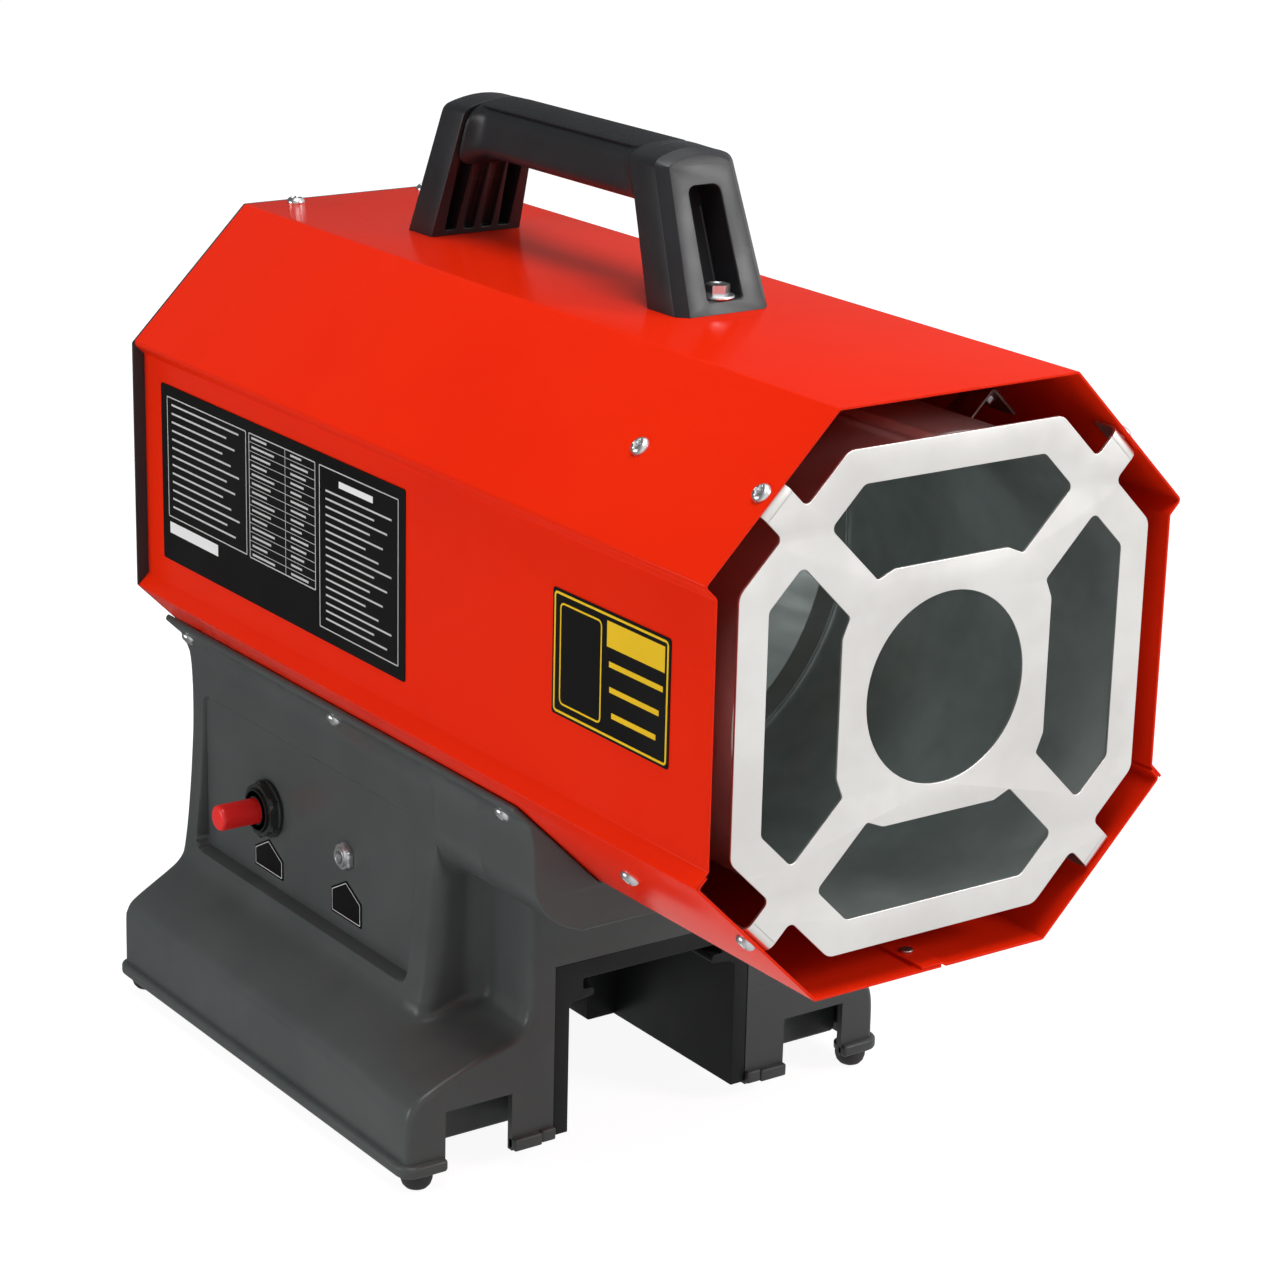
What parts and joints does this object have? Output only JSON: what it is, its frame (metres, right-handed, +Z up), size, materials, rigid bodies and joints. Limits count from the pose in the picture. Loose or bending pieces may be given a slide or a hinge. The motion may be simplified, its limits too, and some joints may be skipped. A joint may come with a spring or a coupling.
{
  "type": "portable propane heater",
  "caption": "Portable fan heater burning bottled propane: octagonal red metal body with a flame tube, a carrying handle and a moulded base with a slide-in battery bay.",
  "frame": {"origin": "on the ground, at the middle of the object's footprint; the feet stand on Z = 0", "axes": "+X across the heater, to the right seen from the outlet; +Y from the outlet to the rear; +Z up"},
  "size_m": [0.2328, 0.42, 0.3969],
  "materials": {
    "red_paint": "gloss powder coat",
    "stainless": "brushed",
    "galvanised": "galvanised, heat-dulled",
    "black_paint": "satin powder coat",
    "zinc_steel": "zinc plated",
    "nickel": "bright plated",
    "brass": "machined",
    "copper": "drawn tube",
    "aluminium": "pressed",
    "ceramic": "glazed",
    "grey_plastic": "fine moulded texture",
    "bay_plastic": "moulded",
    "black_plastic": "moulded, glossy",
    "handle_plastic": "fine moulded texture",
    "grip_rubber": "soft, pebbled",
    "rubber_black": "smooth",
    "red_plastic": "moulded",
    "label_black": "printed film",
    "label_yellow": "printed film",
    "cable_sheath": "smooth sheath",
    "board": "solder-masked laminate"
  },
  "bodies": {
    "heater": {"top_cover": "red_paint", "left_tray": "red_paint", "right_tray": "red_paint", "tray_rivets": "zinc_steel", "front_grille": "stainless", "combustion_tube": "galvanised", "tube_brackets": "galvanised", "flame_cone": "galvanised", "burner_head": "galvanised", "gas_nozzle": "brass", "spark_electrode": "ceramic", "thermocouple": "copper", "gas_pipe": "copper", "gas_valve": "brass", "gas_inlet": "brass", "piezo_igniter": "ceramic", "button_spring": "zinc_steel", "ignition_nut": "black_plastic", "power_jack": "black_plastic", "jack_nut": "nickel", "rear_panel": "black_paint", "fan_guard": "black_paint", "fan_motor": "galvanised", "motor_bracket": "galvanised", "motor_screws": "zinc_steel", "motor_leads": "cable_sheath", "ignition_lead": "cable_sheath", "power_leads": "cable_sheath", "control_board": "board", "base_shell": "grey_plastic", "battery_dock": "bay_plastic", "terminal_block": "black_plastic", "base_floor": "bay_plastic", "floor_screws": "zinc_steel", "rubber_feet": "rubber_black", "saddle_screws": "nickel", "body_screws": "nickel", "rear_screws": "nickel", "handle_frame": "handle_plastic", "grip_pad": "grip_rubber", "handle_bolts": "nickel", "data_label": "label_black", "surface_label": "label_yellow", "ignition_tag": "label_black", "power_tag": "label_black"},
    "fan": {"fan_impeller": "aluminium", "motor_shaft": "zinc_steel", "fan_nut": "brass"},
    "button": {"ignition_button": "red_plastic"}
  },
  "joints": [
    {"name": "fan_spin", "type": "hinge", "parent": "heater", "child": "fan", "pos_m": [0, 0.1, 0.2347], "axis": [0, 1, 0], "continuous": true},
    {"name": "ignition_press", "type": "slide", "parent": "heater", "child": "button", "axis": [1, 0, 0], "range_m": [0, 0.007], "stiffness_N_per_m": 500, "springref_m": -0.002, "deforming": ["button_spring"]}
  ]
}
